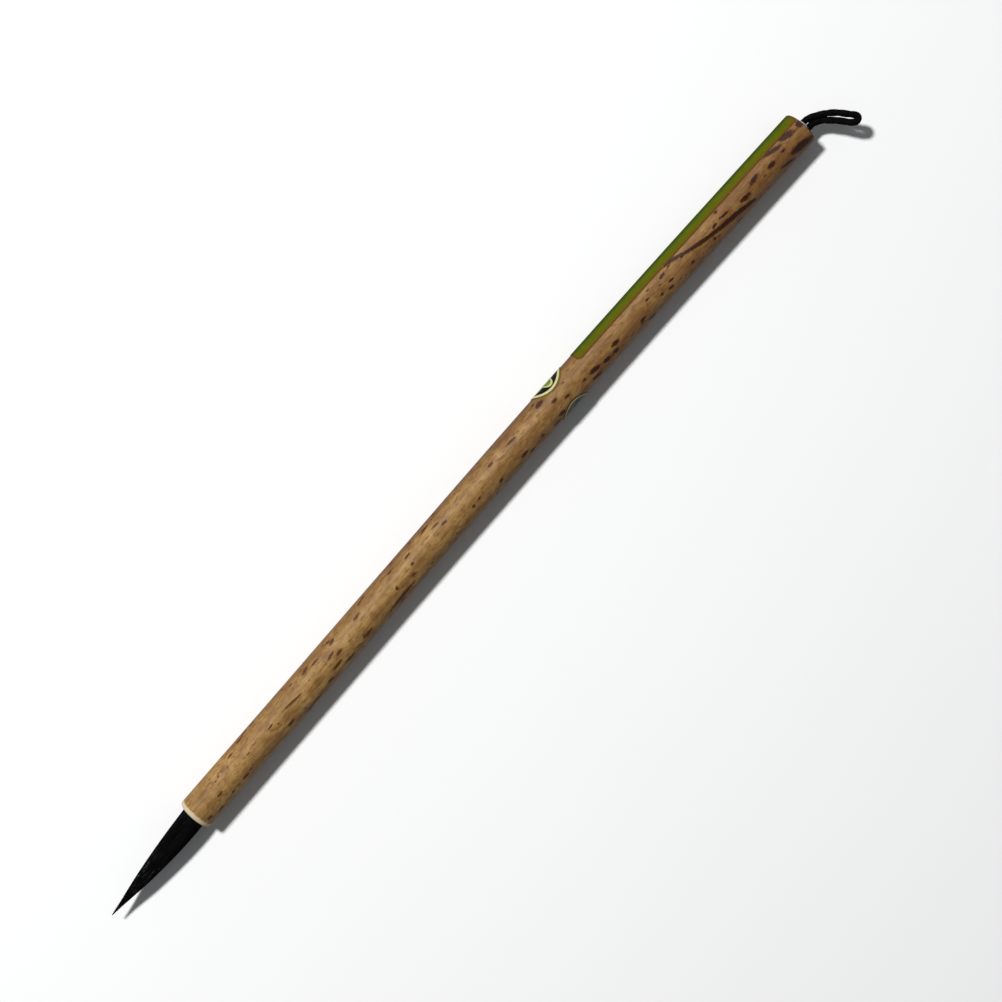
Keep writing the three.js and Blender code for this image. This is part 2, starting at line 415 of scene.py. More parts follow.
# Millimetres beyond the handle's end, towards the label and above the axis.
cordRoute = [
    [1.5, 0.32, 0],
    [2.5, 0.12, 0.15],
    [3.75, -0.5, 0.65],
    [5.14, -1.55, 1.2],
    [6.55, -2.8, 1.6],
    [7.84, -4.35, 1.95],
    [8.89, -6.05, 2.25],
    [9.56, -7.05, 2.4],
    [9.9, -7.9, 2.45],
    [9.6, -8.55, 2.45],
    [8.85, -8.62, 2.35],
    [7.98, -7.85, 2.15],
    [7.3, -6.75, 1.9],
    [6.49, -5.35, 1.5],
    [5.37, -3.78, 0.95],
    [4.19, -2.4, 0.4],
    [2.85, -1.6, 0.05],
    [1.5, -1.33, 0],
]
strandMiddle = (cordRoute[0][1] + cordRoute[-1][1]) / 2 * mm  # between the two strands in the plug


def braid(gone, angles):
    turn = 2 * np.pi * gone / cordShape["braidPitch"]
    over = np.maximum(np.cos(4 * angles + turn), np.cos(4 * angles - turn))
    return cordShape["diameter"] / 2 * (1 + cordShape["braidDepth"] * (over - 0.75))


def makeCordMaterial():
    material, tree, sockets = newMaterial("black braided cord", 0.85, 0.05)
    place = placeOf(tree)
    fuzz = grainOn(tree, place, 0.5, 0.12)
    tone = toneOn(tree, place, 1.4)
    shade = times(tree, fuzz, tone)
    color = mixColors(tree, shade, srgb(1, 1, 1), srgb(10, 10, 11))
    tree.links.new(color, sockets["Base Color"])
    tree.links.new(rescale(tree, fuzz, 0, 1, 0.62, 0.88), sockets["Roughness"])
    addBump(tree, sockets, fuzz, 0.00004)
    return material


cordMaterial = makeCordMaterial()


def makeCord():
    back = cordShape["inPlug"] / mm
    route = [[-back, cordRoute[0][1], 0]] + cordRoute + [[-back, cordRoute[-1][1], 0]]
    path = np.array(route) * mm + [caneLength, 0, 0]
    line, distance = smoothPath(path, cordShape["ringSpacing"])
    columns = cordShape["columns"]
    points = strandPoints(line, columns, braid)
    faces = closedTube(len(line), columns)
    cord = addPiece("hanging_loop", points, faces, cordMaterial, "cord", None, ["hanging_cord"])
    placed = bowed(line)
    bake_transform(cord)


makeCord()


handleLook = {
    "pale": srgb(178, 143, 84),
    "deep": srgb(112, 76, 34),
    "rosy": srgb(118, 78, 50),
    "tailTint": srgb(100, 58, 28),
    # painted shade for the side of the handle towards the label
    "paintedShadeSide": srgb(76, 48, 34),
    "speckle": srgb(104, 64, 26),
    "mouthFleck": srgb(92, 50, 16),
    "tailFleck": srgb(78, 30, 10),
    "fleckCore": srgb(36, 5, 2),
    "cutWood": srgb(190, 174, 142),
    "roughness": (0.52, 0.66),
}
handleDetail = {
    "columns": 176,
    "ringSpacing": 0.46 * mm,
    "undulation": 0.05 * mm,
    "mouthChamfer": 0.7 * mm,
    "tailChamfer": 0.25 * mm,
    "bareEnd": 1.85,  # millimetres over which the pale cut end fades into the skin
    "pithRadius": 1.7 * mm,
    "socketDepth": 12 * mm,
    "tailBoreDepth": 14 * mm,
    "fitGap": 0.05 * mm,
    "socketGap": 0.1 * mm,
    "holeBevel": 0.1 * mm,
    "stepSlope": 0.4 * mm,
    "handledEnds": 6,  # millimetres from each end that hands wear most
}
# Burnt marks: millimetres from the mouth, degrees round from the top towards the label, half length and half
# width in millimetres, and degrees that the mark leans as it goes towards the tail.
burntMarks = [
    (206.4, -45, 3.2, 1.1, -12),
    (209.4, 11, 0.9, 0.9, 0),
    (205.4, 16, 2.2, 0.8, -18),
    (200.8, 15, 2.8, 0.5, -14),
    (198.2, -12, 1.2, 0.6, 6),
    (193.1, -2, 1.8, 0.5, 8),
    (201.6, -54, 2.1, 0.5, -16),
    (190, 31, 2.1, 0.4, 0),
    (188.8, -21, 1.6, 0.55, -5),
    (183.6, 31, 0.9, 0.35, 0),
    (182.5, -7, 1.5, 0.3, -8),
    (181.8, 19, 0.5, 0.35, 0),
    (179.2, -8, 0.8, 0.35, 10),
    (177.4, -38, 0.5, 0.35, 0),
    (170.1, -36, 0.6, 0.3, 0),
    (162.5, -39, 0.8, 0.35, -5),
    (159.9, -30, 0.5, 0.35, 0),
    (144.5, -23, 1.2, 0.5, -4),
    (143.3, -43, 1, 0.5, 0),
    (140.6, -41, 1.3, 0.55, -6),
    (137, -31, 1.6, 0.6, -8),
    (136.6, -57, 1.5, 0.6, -8),
    (133.6, -27, 0.5, 0.35, 0),
    (128.3, -21, 0.8, 0.35, -6),
    (125.5, 1, 0.9, 0.4, -6),
    (124.7, -48, 1, 0.6, -8),
    (122.7, 31, 1.2, 0.6, 0),
    (118, -50, 0.6, 0.4, 0),
    (114, -61, 0.9, 0.4, 0),
    (112, -43, 1.2, 0.5, -4),
    (112, 19, 1.6, 0.3, -3),
    (105, 19, 0.9, 0.3, 0),
    (104, -42, 0.7, 0.4, 5),
    (95.5, -28, 0.5, 0.4, 0),
    (86.5, 25, 1, 0.25, -4),
    (84, 47, 1.5, 0.35, 8),
    (77, 29, 1, 0.3, 6),
    (76.5, 0, 0.5, 0.35, 5),
    (71.5, 39, 0.8, 0.3, 4),
    (70, -15, 0.4, 0.45, 0),
    (69.5, -48, 4.3, 0.5, 3),
    (59, 24, 1.2, 0.4, 8),
    (58, -41, 1.7, 0.4, 5),
    (51, 33, 1, 0.4, 14),
    (51, -52, 1.5, 0.4, 0),
    (50.5, -9, 1, 0.35, 2),
    (48.5, 4, 1.4, 0.3, 10),
    (48, -32, 1.6, 0.4, 4),
    (45, 30, 1.3, 0.3, -1),
    (42, 37, 1.2, 0.4, 16),
    (38, -65, 3, 0.4, 2),
    (35, 0, 2.8, 0.3, -6),
    (31, -44, 1, 0.4, 0),
    (27.5, 2, 0.9, 0.25, 6),
    (20, 58, 1.1, 0.4, 0),
    (15.2, -46, 1, 0.4, 0),
    (10.7, -48, 0.6, 0.3, 0),
    (8.4, -18, 0.9, 0.35, 0),
    (2.6, -47, 0.8, 0.4, 0),
]
# A long burnt streak that winds over the top, away from the label: millimetres from the mouth,
# degrees round, and half width.
burntStreak = [
    (164.8, 29, 0.5),
    (167.5, 18, 0.5),
    (171, 1, 0.4),
    (174.6, -12, 0.5),
    (178, -22, 0.45),
    (182, -31, 0.6),
    (185, -37, 0.7),
    (189.8, -51, 0.5),
]
# Small marks all over, with few of them between clearFrom and clearTo degrees.
scatteredMarks = {
    "seed": 11,
    "count": 620,
    "from": 5,
    "to": 208,
    "clearFrom": -40,
    "clearTo": 40,
    "clearShare": 0.14,
}


def scatterMarks():
    dice = random.Random(scatteredMarks["seed"])
    marks = []
    for _ in range(scatteredMarks["count"]):
        along = dice.uniform(scatteredMarks["from"], scatteredMarks["to"])
        angle = dice.uniform(-180, 180)
        toTail = along / scatteredMarks["to"]
        clear = scatteredMarks["clearFrom"] < angle < scatteredMarks["clearTo"]
        if dice.random() > (scatteredMarks["clearShare"] if clear else 0.5 + 0.4 * toTail):
            continue
        size = dice.uniform(0.5, 1.0) * dice.choice([0.6, 0.8, 1.0, 1.5])
        marks.append((along, angle, 0.75 * size, 0.3 * size, dice.uniform(-14, 10)))
    return marks


# How deep in a mark each point lies, from 0 outside to 1 in the middle.
def markDepth(along, angle, marks):
    depth = np.zeros(along.shape)
    arcScale = caneRadius / mm
    for markAlong, markAngle, halfLength, halfWidth, lean in marks:
        near = np.abs(along[:, 0] - markAlong) < 2 * halfLength + 1
        across = np.radians((angle[near] - markAngle + 180) % 360 - 180) * arcScale
        ahead = along[near] - markAlong
        turn = math.radians(lean)
        u = (ahead * math.cos(turn) + across * math.sin(turn)) / halfLength
        v = (across * math.cos(turn) - ahead * math.sin(turn)) / halfWidth
        depth[near] = np.maximum(depth[near], np.clip(1.5 - np.hypot(u, v), 0, 1))
    return depth


def fleckValues(along, angle):
    marks = burntMarks + scatterMarks()
    radius = caneRadius / mm
    path, _ = smoothPath([[a, math.radians(d) * radius, w] for a, d, w in burntStreak], 0.35)
    streak = [(a, math.degrees(arc / radius), 0.7, w, -28) for a, arc, w in path]
    return markDepth(along, angle, marks + streak)


def makeBamboo():
    look = handleLook
    material, tree, sockets = newMaterial("smoked bamboo", 0.55, 0.2, {"Coat Roughness": 0.35})
    place = placeOf(tree)
    alongHandle, towardsLabel, _ = addNode(tree, "SeparateXYZ", {}, {0: place}).outputs
    toTail = rescale(tree, alongHandle, 60, 190)
    fine = grainOn(tree, place, 9.0, 0.16)
    broad = grainOn(tree, place, 26.0, 1.5)
    tone = toneOn(tree, place, 4.5, 2.2)
    short = grainOn(tree, place, 3.2, 1.1)
    mottle = times(tree, plus(tree, plus(tree, broad, tone), short), 0.333)
    wood = mixColors(tree, rescale(tree, mottle, 0.2, 0.8), look["deep"], look["pale"])
    blush = toneOn(tree, place, 2.6, 3.0)
    wood = mixColors(tree, times(tree, blush, 0.3), wood, look["rosy"])
    wood = mixColors(tree, times(tree, toTail, 0.45), wood, look["tailTint"])
    dots = grainOn(tree, place, 1.7, 0.55)
    speckle = times(tree, rescale(tree, dots, 0.5, 0.78), rescale(tree, tone, 0.2, 0.65, 0.25, 0.75))
    wood = mixColors(tree, speckle, wood, look["speckle"])
    # Painted shade: the side towards the label is darkened to a deep brown, more so away from the mouth.
    paintedShadeRamp = rescale(tree, alongHandle, 10, 80, 0.15, 0.62)
    paintedShadeMask = times(tree, rescale(tree, towardsLabel, 2.2, 3.9), paintedShadeRamp)
    wood = mixColors(tree, paintedShadeMask, wood, look["paintedShadeSide"])
    wood = shaded(tree, 1.0, wood, rescale(tree, fine, 0, 1, 0.86, 1.08))

    # Each mark is a stain with a darker burnt core. The core fades near the mouth.
    fleck = readAttribute(tree, "fleck")
    stain = bandOn(tree, place, fleck, 0.2, noLimit, 0.45, 0.7, 1.3)
    core = bandOn(tree, place, fleck, 0.48, noLimit, 0.3, 0.45, 1.7)
    fleckColor = mixColors(tree, toTail, look["mouthFleck"], look["tailFleck"])
    coreShare = rescale(tree, alongHandle, 20, 150, 0.35, 1)
    coreColor = mixColors(tree, coreShare, fleckColor, look["fleckCore"])
    wood = mixColors(tree, times(tree, stain, 0.72), wood, fleckColor)
    wood = mixColors(tree, times(tree, core, 0.85), wood, coreColor)

    # Cut wood shows the ends of its fibre bundles.
    cut = bandOn(tree, place, readAttribute(tree, "cut"), 0.4, noLimit, 0.3, 0.5, 0.45)
    bundles = addNode(tree, "TexVoronoi", {}, {"Vector": place, "Scale": 4.2}).outputs["Distance"]
    cutColor = shaded(tree, 0.5, look["cutWood"], rescale(tree, bundles, 0.1, 0.45, 0.72, 1.0))
    color = mixColors(tree, cut, wood, cutColor)
    tree.links.new(color, sockets["Base Color"])

    wear = wearOn(tree, place, readAttribute(tree, "edge"), 0.5)
    low, high = look["roughness"]
    rough = rescale(tree, plus(tree, fine, plus(tree, wear, cut)), 0, 2, low, high)
    tree.links.new(rough, sockets["Roughness"])
    varnish = rescale(tree, plus(tree, cut, wear), 0, 1, 0.03, 0.0)
    tree.links.new(varnish, sockets["Coat Weight"])
    height = calculate(tree, "SUBTRACT", times(tree, fine, 0.5), times(tree, core, 0.6))
    addBump(tree, sockets, height, 0.00005)
    return material


# Outline of the outside, and of the socket, the hollow and the counterbore inside.
def handleProfile():
    detail = handleDetail
    radius = caneRadius
    rounding = detail["mouthChamfer"]
    socket = tuftHigh.y + detail["socketGap"]
    bore = plugHigh.y + detail["fitGap"]
    quarter = np.linspace(0, np.pi / 2, 9)
    mouth = [(rounding * (1 - math.cos(q)), radius - rounding * (1 - math.sin(q))) for q in quarter]
    edge = detail["tailChamfer"]
    tail = [(caneLength - edge * (1 - math.sin(q)), radius - edge * (1 - math.cos(q))) for q in quarter]
    spacing = detail["ringSpacing"]
    middle = np.arange(rounding + spacing, caneLength - edge - spacing / 2, spacing)
    outside = mouth + [(along, radius) for along in middle] + tail
    boreEnd = caneLength - detail["tailBoreDepth"]
    bevel = detail["holeBevel"]
    step = detail["stepSlope"]
    inside = [
        (caneLength, bore + bevel),
        (caneLength - bevel, bore),
        (caneLength - 4 * mm, bore),
        (boreEnd, bore),
        (boreEnd - step, detail["pithRadius"]),
        (caneLength / 2, detail["pithRadius"]),
        (detail["socketDepth"] + step, detail["pithRadius"]),
        (detail["socketDepth"], socket),
        (1.5 * mm, socket),
        (bevel, socket),
        (0, socket + bevel),
    ]
    return outside, inside


def makeHandle():
    detail = handleDetail
    outside, inside = handleProfile()
    profile = outside + inside
    columns = detail["columns"]

    # The growth of the cane leaves it a little flatter in places, never thicker.
    def radiusAt(along, angle, radius):
        swell = 0.5 + 0.25 * np.sin(along * 61 + 2 * angle) + 0.25 * np.sin(along * 143 - 3 * angle + 1)
        outer = radius > caneRadius - 1e-9
        return radius - np.where(outer, detail["undulation"] * swell, 0)

    points = turnedPoints(profile, columns, radiusAt)
    along = points[:, 0].reshape(-1, columns) / mm
    angle = np.degrees(np.arctan2(points[:, 1], points[:, 2])).reshape(-1, columns)
    isOutside = (np.arange(len(profile)) < len(outside))[:, None]
    fleck = np.where(isOutside, fleckValues(along, angle), 0)
    toTail = caneLength / mm - along
    reach = np.hypot(points[:, 1], points[:, 2]).reshape(-1, columns)
    # The tail's rim is burnt dark all round, instead of showing bare wood.
    rim = (toTail < detail["tailChamfer"] / mm * 0.7) & (reach > plugHigh.y)
    fleck = np.where(rim, 0.9, fleck)
    fromMouth = 1 - along / detail["bareEnd"]
    cut = np.where(isOutside, np.clip(fromMouth, 0, 1) * 1.4, 1)
    cut = np.where(rim, 0, cut)
    edge = np.clip(1 - np.minimum(along, toTail) / detail["handledEnds"], 0, 1)
    faces = gridFaces(len(profile), columns, closedRows=True)
    layers = {"fleck": fleck, "cut": cut, "edge": edge}
    addPiece("bamboo_handle", points, faces, makeBamboo(), "bamboo", "brush", ["cane"], **layers)
    print("handle made,", len(faces), "faces")


makeHandle()


tuftShape = {
    "bodyShare": 0.985,  # the strands stand a little outside the body
    "columns": 96,
    "rings": 70,
    "grooves": 0.018,
    "strands": 520,
    "strandWidth": 0.05 * mm,
    "strandSteps": 16,
    "seed": 5,
    "strays": 9,
    "coreGap": 1.65 * mm,
}
# Width of the hair as [share of the exposed length, share of the width at the mouth].
tuftTaper = [
    [0, 1],
    [0.09, 1],
    [0.25, 0.93],
    [0.42, 0.8],
    [0.6, 0.61],
    [0.74, 0.41],
    [0.86, 0.2],
    [0.94, 0.09],
    [1, 0.02],
]
tuftLength = mouthX - tuftLow.x
tuftRadius = (tuftHigh.y - tuftLow.y) / 2
rootDepth = tuftHigh.x - mouthX


def taperAt(share):
    line, _ = smoothPath(tuftTaper, 0.01)
    return np.interp(share, line[:, 0], line[:, 1])


# Where asked for, a painted highlight: light grey glints on the top of the tuft, part way towards its tip.
def makeHairMaterial(name, dark, sheen, paintedGlint=0.0):
    material, tree, sockets = newMaterial(name, 0.6, 0.06)
    place = placeOf(tree)
    fine = grainOn(tree, place, 7.0, 0.07)
    clumps = grainOn(tree, place, 5.0, 0.35)
    tone = toneOn(tree, place, 3.0, 2.0)
    shine = times(tree, times(tree, fine, clumps), tone)
    color = mixColors(tree, shine, dark, sheen)
    if paintedGlint:
        # Painted highlight: glints painted on the top of the tuft.
        parts = addNode(tree, "SeparateXYZ", {}, {0: place}).outputs
        inZone = bandOn(tree, place, parts[0], -24.0, -11.0, 5.0, 0.5)
        onTop = rescale(tree, parts[2], 0.5, 1.5)
        glintMask = times(tree, inZone, times(tree, onTop, rescale(tree, shine, 0.2, 0.5)))
        color = mixColors(tree, times(tree, glintMask, paintedGlint), color, srgb(150, 150, 154))
    tree.links.new(color, sockets["Base Color"])
    tree.links.new(rescale(tree, shine, 0, 0.6, 0.75, 0.5), sockets["Roughness"])
    addBump(tree, sockets, plus(tree, fine, clumps), 0.00006)
    return material


# The mass of the outer hair, hollow where the stiff core runs.
def makeTuft(material):
    shape = tuftShape
    exposed = np.linspace(1, 0, shape["rings"])
    mouthRadius = tuftRadius * shape["bodyShare"]
    outside = [(-share * tuftLength, taperAt(share) * mouthRadius) for share in exposed]
    threadLow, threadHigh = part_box("root_thread")
    bound = threadHigh.y - 0.5 * mm
    root = [
        (threadLow.x - mouthX - 1.2 * mm, mouthRadius),
        (threadLow.x - mouthX - 0.3 * mm, bound),
        (threadHigh.x - mouthX + 0.3 * mm, bound),
        (rootDepth, bound + 0.2 * mm),
        (rootDepth, shape["coreGap"]),
    ]
    coreLow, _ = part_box("hair_core")
    coreTip = coreLow.x - mouthX
    inside = [
        (coreTip / 2, shape["coreGap"]),
        (coreTip - 0.1 * mm, shape["coreGap"] * 0.55),
        (coreTip - 0.2 * mm, pinhole),
    ]

    def radiusAt(along, angle, radius):
        depth = np.clip(-along / (0.15 * tuftLength), 0.15, 1)
        wave = np.sin(17 * angle + 40 * along) + 0.7 * np.sin(29 * angle - 90 * along + 1.7)
        wave = wave + 0.5 * np.sin(41 * angle)
        isOuter = np.arange(len(radius))[:, None] < len(outside)
        return radius * (1 - np.where(isOuter, shape["grooves"] * depth * (0.5 + 0.25 * wave), 0))

    profile = outside + root + inside
    points = turnedPoints(profile, shape["columns"], radiusAt)
    faces = closedBody(len(profile), shape["columns"])
    addPiece("tuft_hair", points, faces, material, "tuft_hair", "brush", ["hair_coat"])


# Separate hairs that lie on the tuft, with a few strays that lift off it.
def makeStrands(material):
    shape = tuftShape
    dice = random.Random(shape["seed"])
    sides = 4
    corner = np.arange(sides) * 2 * np.pi / sides
    cosine = np.cos(corner)[None, :, None]
    sine = np.sin(corner)[None, :, None]
    strandFaces = closedTube(shape["strandSteps"], sides)
    steps = np.linspace(0, 1, shape["strandSteps"])
    points, faces = [], []
    for i in range(shape["strands"]):
        angle = dice.uniform(-np.pi, np.pi)
        start = dice.uniform(-0.04, 0.3)
        end = dice.uniform(0.72, 1.0)
        stray = i < shape["strays"]
        share = start + (end - start) * steps
        drift = angle + dice.uniform(-0.12, 0.12) * steps + 0.03 * np.sin(steps * 9 + i)
        lift = dice.uniform(0.0, 0.05) * mm
        if stray:
            lift = lift + dice.uniform(0.1, 0.22) * mm * steps**5
        radius = taperAt(np.clip(share, 0, 1)) * tuftRadius * shape["bodyShare"] + lift
        line = onCylinder(-share * tuftLength, drift, radius)
        width = shape["strandWidth"] * dice.uniform(0.6, 1.0) * (1 - 0.8 * steps**2)
        outward = onCylinder(0 * share, drift, 1.0)
        around = onCylinder(0 * share, drift + np.pi / 2, 1.0)
        ring = cosine * outward[:, None] + sine * around[:, None]
        strand = (line[:, None] + ring * width[:, None, None]).reshape(-1, 3)
        offset = len(points) * shape["strandSteps"] * sides
        points.append(strand)
        faces += shifted(strandFaces, offset)
    addPiece("tuft_strands", np.concatenate(points), faces, material, "tuft_hair", "brush")


# The outer hair carries a painted highlight on its top.
hairMaterial = makeHairMaterial("black horse hair", srgb(1, 1, 1), srgb(26, 26, 27), paintedGlint=0.6)
makeTuft(hairMaterial)
makeStrands(hairMaterial)
print("tuft made")


# What sits inside and behind the outer hair: stiff core, thread, rosin and glue.
coreShape = {
    "columns": 64,
    "rings": 24,
    "tip": 0.47,  # thickness at the tip as a share of the whole
    "grooves": 0.02,
}
threadShape = {
    "diameter": 0.38 * mm,
    "turns": 8,
    "columns": 14,
    "ringsPerTurn": 40,
    "twistPitch": 0.9 * mm,
    "twistDepth": 0.09,
}


def makeThreadMaterial():
    material, tree, sockets = newMaterial("waxed binding thread", 0.8, 0.3, {"Sheen Weight": 0.1})
    place = placeOf(tree)
    fuzz = toneOn(tree, place, 0.12, 1.6)
    stain = toneOn(tree, place, 1.8, 1.8)
    color = mixColors(tree, fuzz, srgb(176, 164, 138), srgb(226, 217, 196))
    color = mixColors(tree, times(tree, stain, 0.4), color, srgb(120, 92, 60))
    tree.links.new(color, sockets["Base Color"])
    addBump(tree, sockets, fuzz, 0.00003)
    return material


def makeThread():
    shape = threadShape
    low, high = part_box("root_thread")
    radius = (high.y - low.y) / 2 - shape["diameter"] / 2 - 0.01 * mm
    start = low.x - mouthX + shape["diameter"] / 2
    end = high.x - mouthX - shape["diameter"] / 2
    turn = np.linspace(0, 1, shape["turns"] * shape["ringsPerTurn"])
    line = onCylinder(start + (end - start) * turn, 2 * np.pi * shape["turns"] * turn, radius)

    def twisted(gone, angles):
        ply = np.cos(3 * angles + 2 * np.pi * gone / shape["twistPitch"])
        return shape["diameter"] / 2 * (1 - shape["twistDepth"] * (0.5 - 0.5 * ply))

    points = strandPoints(line, shape["columns"], twisted)
    faces = closedTube(len(line), shape["columns"])
    material = makeThreadMaterial()
    addPiece("root_binding", points, faces, material, "binding_thread", "brush", ["root_thread"])


# The stiff hair in the middle of the tuft, which leans with it.
def makeCore(material):
    low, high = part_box("hair_core")
    tip, end = low.x - mouthX, high.x - mouthX
    thick = (high.y - low.y) / 2
    taper = np.linspace(0, 1, coreShape["rings"])
    blunt = coreShape["tip"]
    profile = [(tip, pinhole)]
    profile += [(tip * (1 - share / 2), thick * (blunt + (1 - blunt) * share)) for share in taper]
    profile += [(along, thick) for along in np.linspace(tip / 2, end, coreShape["rings"])[1:]]
    profile.append((end, pinhole))

    def radiusAt(along, angle, radius):
        wave = np.sin(19 * angle + 60 * along) + np.sin(31 * angle - 80 * along + 1)
        return radius * (1 - coreShape["grooves"] * (0.5 + 0.25 * wave))

    columns = coreShape["columns"]
    points = turnedPoints(profile, columns, radiusAt)
    faces = closedBody(len(profile), columns)
    addPiece("stiff_core", points, faces, material, "core_hair", "brush", ["hair_core"])


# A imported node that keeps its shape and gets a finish.
def coat(node, material):
    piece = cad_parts[node]
    piece.data.materials.clear()
    piece.data.materials.append(material)


# A liquid that has set hard: uneven colour and small cells under a glossy coat.
def makeResin(name, dark, light, roughness, size):
    gloss = {"Coat Weight": 0.4, "Coat Roughness": 0.12}
    material, tree, sockets = newMaterial(name, roughness, 0.5, gloss)
    place = placeOf(tree, packed=True)
    tone = toneOn(tree, place, size, 2.0)
    cells = addNode(tree, "TexVoronoi", {}, {"Vector": place, "Scale": 1.6 / size}).outputs["Distance"]
    tree.links.new(mixColors(tree, tone, dark, light), sockets["Base Color"])
    addBump(tree, sockets, plus(tree, tone, cells), 0.00006)
    return material


makeThread()
makeCore(makeHairMaterial("stiff core hair", srgb(26, 18, 13), srgb(92, 72, 54)))
coat("root_seal", makeResin("burnt rosin", srgb(38, 15, 5), srgb(104, 52, 18), 0.25, 0.9))
coat("glue_bed", makeResin("dried glue", srgb(168, 126, 62), srgb(214, 180, 116), 0.3, 1.4))
print("root made")


plugShape = {
    "columns": 128,
    "dome": 1.2 * mm,
    "bodyRings": 10,
    "domeRings": 14,
    "holeGap": 0.1 * mm,
    "holeCorners": 64,
}
knotShape = {
    "turnRadius": 1.36 * mm,
    "strand": 1.2 * mm,
    "gap": 0.2 * mm,
    "length": 4.3 * mm,
    "rings": 260,
    "columns": 20,
    "strandRings": 30,
}


def makeIvory():
    material, tree, sockets = newMaterial("ivory plastic", 0.4, 0.5, {"Subsurface Weight": 0.08})
    place = placeOf(tree)
    tone = toneOn(tree, place, 1.6, 1.5)
    color = mixColors(tree, tone, srgb(226, 217, 196), srgb(244, 238, 224))
    dirt = wearOn(tree, place, readAttribute(tree, "edge"), 0.34)
    color = mixColors(tree, times(tree, dirt, 0.5), color, srgb(150, 128, 96))
    tree.links.new(color, sockets["Base Color"])
    tree.links.new(rescale(tree, tone, 0, 1, 0.3, 0.48), sockets["Roughness"])
    addBump(tree, sockets, tone, 0.00004)
    return material


def makePlug(material):
    shape = plugShape
    radius = (plugHigh.y - plugLow.y) / 2
    start = plugLow.x - mouthX
    dome = shape["dome"]
    sphere = (radius**2 + dome**2) / (2 * dome)
    spread = math.asin(radius / sphere)
    bevel = 0.15 * mm
    body = np.linspace(start + bevel, caneLength - 0.05 * mm, shape["bodyRings"])
    profile = [(start, pinhole), (start, radius * 0.6), (start, radius - bevel)]
    profile += [(along, radius) for along in body]
    for turn in np.linspace(spread, 0.01, shape["domeRings"]):
        profile.append((caneLength + sphere * math.cos(turn) - (sphere - dome), sphere * math.sin(turn)))
    columns = shape["columns"]
    points = turnedPoints(profile, columns)
    faces = closedBody(len(profile), columns)
    edge = np.clip(1 - np.abs(points[:, 0] - caneLength) / (0.5 * mm), 0, 1)
    plug = addPiece("domed_plug", points, faces, material, "plug_ivory", "brush", ["tail_plug"], edge=edge)
    drillPlug(plug, [start - 1 * mm, caneLength + dome + 1 * mm])


# One long hole for both strands, cut right through the plug between two ends beyond it.
def drillPlug(plug, ends):
    half = abs(cordRoute[0][1] - cordRoute[-1][1]) / 2 * mm
    width = cordShape["diameter"] / 2 + plugShape["holeGap"]
    turns = np.linspace(0, 2 * np.pi, plugShape["holeCorners"], endpoint=False)
    across = strandMiddle + np.sign(np.cos(turns)) * half + width * np.cos(turns)
    outline = np.stack([across, width * np.sin(turns)], -1)
    rings = np.concatenate([np.column_stack([np.full(len(outline), x), outline]) for x in ends])
    cutterMesh = bpy.data.meshes.new("plug_hole")
    cutterMesh.from_pydata((rings + [mouthX, 0, axisHeight]).tolist(), [], closedTube(2, len(outline)))
    cutter = bpy.data.objects.new("plug_hole", cutterMesh)
    bpy.context.scene.collection.objects.link(cutter)
    change = plug.modifiers.new("hole", "BOOLEAN")
    change.object = cutter
    change.solver = "EXACT"
    drilled = bpy.data.meshes.new_from_object(plug.evaluated_get(bpy.context.evaluated_depsgraph_get()))
    plug.modifiers.clear()
    plug.data = drilled
    bpy.data.objects.remove(cutter)


# The cord's two ends, tied behind the plug, with the two strands that run on into its hole.
def makeKnot(material):
    shape = knotShape
    low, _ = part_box("cord_knot")
    start = low.x - mouthX + shape["gap"]
    turn = np.linspace(0, 2 * np.pi, shape["rings"], endpoint=False)
    radius = shape["turnRadius"] * (0.62 + 0.36 * np.cos(3 * turn))
    swing = (shape["length"] - shape["strand"]) / 2
    line = onCylinder(start + shape["length"] / 2 + swing * np.sin(3 * turn), 2 * turn, radius)
    line = np.vstack([line, line[:1]])
    thick = shape["strand"] / 2

    def relief(gone, angles):
        over = np.cos(4 * angles + 2 * np.pi * gone / cordShape["braidPitch"])
        return thick * (1 + 0.05 * over)

    columns = shape["columns"]
    points = [strandPoints(line, columns, relief)]
    faces = closedTube(len(line), columns)
    for strand in (cordRoute[0], cordRoute[-1]):
        first = np.array([start + shape["length"] - 1 * mm, strand[1] * mm, 0])
        last = np.array([caneLength - cordShape["inPlug"], strand[1] * mm, 0])
        run = np.linspace(first, last, shape["strandRings"])
        offset = sum(len(p) for p in points)
        points.append(strandPoints(run, columns, braid))
        faces += shifted(closedTube(len(run), columns), offset)
    addPiece("tied_ends", np.concatenate(points), faces, material, "cord", "brush", ["cord_knot"])


makePlug(makeIvory())
makeKnot(cordMaterial)
print("plug and knot made")


paperShape = {"gap": 0.03 * mm, "thickness": 0.07 * mm, "detail": 0.3 * mm}
labelShape = {
    "from": 25,  # degrees round the handle
    "to": 163,
    "columns": 72,
    "corner": 1.2 * mm,
}
sealShape = {
    "left": (94.5, 69.5),  # middle and half spread in degrees
    "right": (-104, 60),
    "motif": 0.6,
    "lobeDepth": 0.27,
    "gridSide": 49,
}


# A thin sheet on the handle, from a grid of places along it and angles round it.
def addSheet(name, along, angle, material, slot, node, **layers):
    rows, columns = along.shape
    inner = caneRadius + paperShape["gap"]
    top = onCylinder(along, angle, inner + paperShape["thickness"]).reshape(-1, 3)
    bottom = onCylinder(along, angle, inner).reshape(-1, 3)
    count = rows * columns
    faces = gridFaces(rows, columns, closedColumns=False)
    faces += shifted([face[::-1] for face in faces], count)
    index = np.arange(count).reshape(rows, columns)
    border = [*index[0, :-1], *index[:-1, -1], *index[-1, :0:-1], *index[:0:-1, 0]]
    border = [int(i) for i in border]
    for a, b in zip(border, border[1:] + border[:1]):
        faces.append([a, b, b + count, a + count])
    doubled = {key: np.concatenate([values.ravel(), values.ravel()]) for key, values in layers.items()}
    addPiece(name, np.concatenate([top, bottom]), faces, material, slot, "brush", [node], **doubled)


